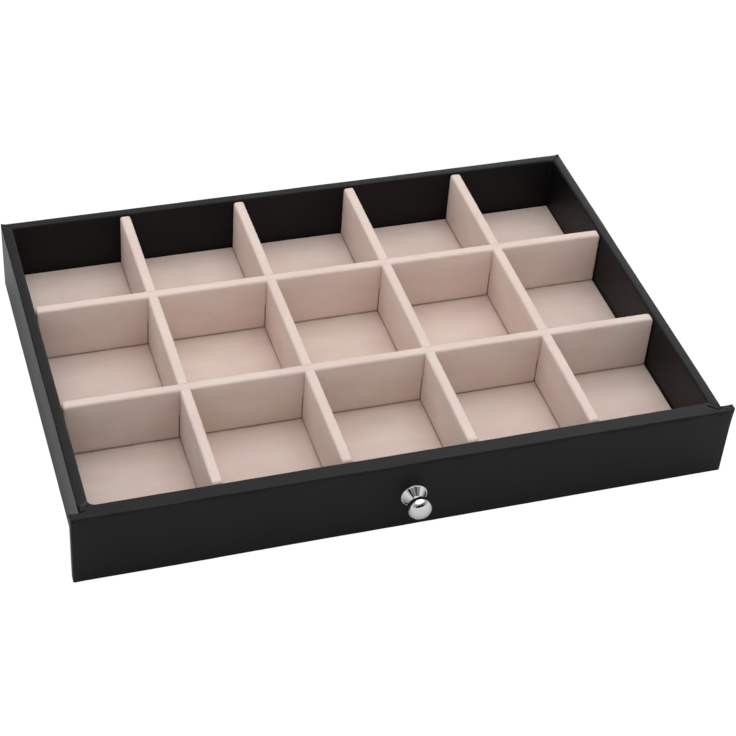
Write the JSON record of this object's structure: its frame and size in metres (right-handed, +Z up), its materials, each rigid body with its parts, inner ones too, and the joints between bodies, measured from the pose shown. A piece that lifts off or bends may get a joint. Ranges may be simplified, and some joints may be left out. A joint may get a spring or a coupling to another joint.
{
  "type": "compartment drawer of a cufflink box",
  "caption": "Shallow leatherette-covered drawer with a velvet floor, a lift-out lattice of velvet dividers and a small chrome knob.",
  "frame": {"origin": "middle of the tray's underside, fascia and knob not counted", "axes": "+X to the drawer's right as seen by someone facing its fascia, +Y into the box, away from the knob, +Z up"},
  "size_m": [0.308, 0.2247, 0.0384],
  "materials": {
    "fascia_leatherette": "fine embossed grain, satin",
    "wall_leatherette": "fine embossed grain, satin",
    "underside_leatherette": "fine embossed grain, satin",
    "fibreboard": "raw medium-density fibreboard",
    "divider_board": "raw medium-density fibreboard",
    "floor_card": "grey board",
    "floor_velvet": "short beige-pink velvet",
    "divider_velvet": "short beige-pink velvet",
    "chrome": "polished",
    "plated_steel": "zinc plated"
  },
  "bodies": {
    "drawer": {"left_side_board": "fibreboard", "right_side_board": "fibreboard", "back_board": "fibreboard", "front_board": "fibreboard", "bottom_board": "fibreboard", "fascia_board": "fibreboard", "left_side_cover": "wall_leatherette", "right_side_cover": "wall_leatherette", "back_cover": "wall_leatherette", "front_cover": "fascia_leatherette", "bottom_lining": "underside_leatherette", "floor_card": "floor_card", "floor_velvet": "floor_velvet", "knob": "chrome", "knob_screw": "plated_steel", "knob_washer": "plated_steel", "corner_brads": "plated_steel"},
    "cross_dividers": {"cross_divider_1_core": "divider_board", "cross_divider_1_velvet": "divider_velvet", "cross_divider_2_core": "divider_board", "cross_divider_2_velvet": "divider_velvet", "cross_divider_3_core": "divider_board", "cross_divider_3_velvet": "divider_velvet", "cross_divider_4_core": "divider_board", "cross_divider_4_velvet": "divider_velvet"},
    "rear_long_divider": {"long_divider_rear_core": "divider_board", "long_divider_rear_velvet": "divider_velvet"},
    "front_long_divider": {"long_divider_front_core": "divider_board", "long_divider_front_velvet": "divider_velvet"}
  },
  "joints": [
    {"name": "divider_lattice_lift", "type": "slide", "parent": "drawer", "child": "cross_dividers", "axis": [0, 0, 1], "range_m": [0, 0.06]},
    {"name": "rear_divider_lift", "type": "slide", "parent": "cross_dividers", "child": "rear_long_divider", "axis": [0, 0, 1], "range_m": [0, 0.04]},
    {"name": "front_divider_lift", "type": "slide", "parent": "cross_dividers", "child": "front_long_divider", "axis": [0, 0, 1], "range_m": [0, 0.04]}
  ]
}
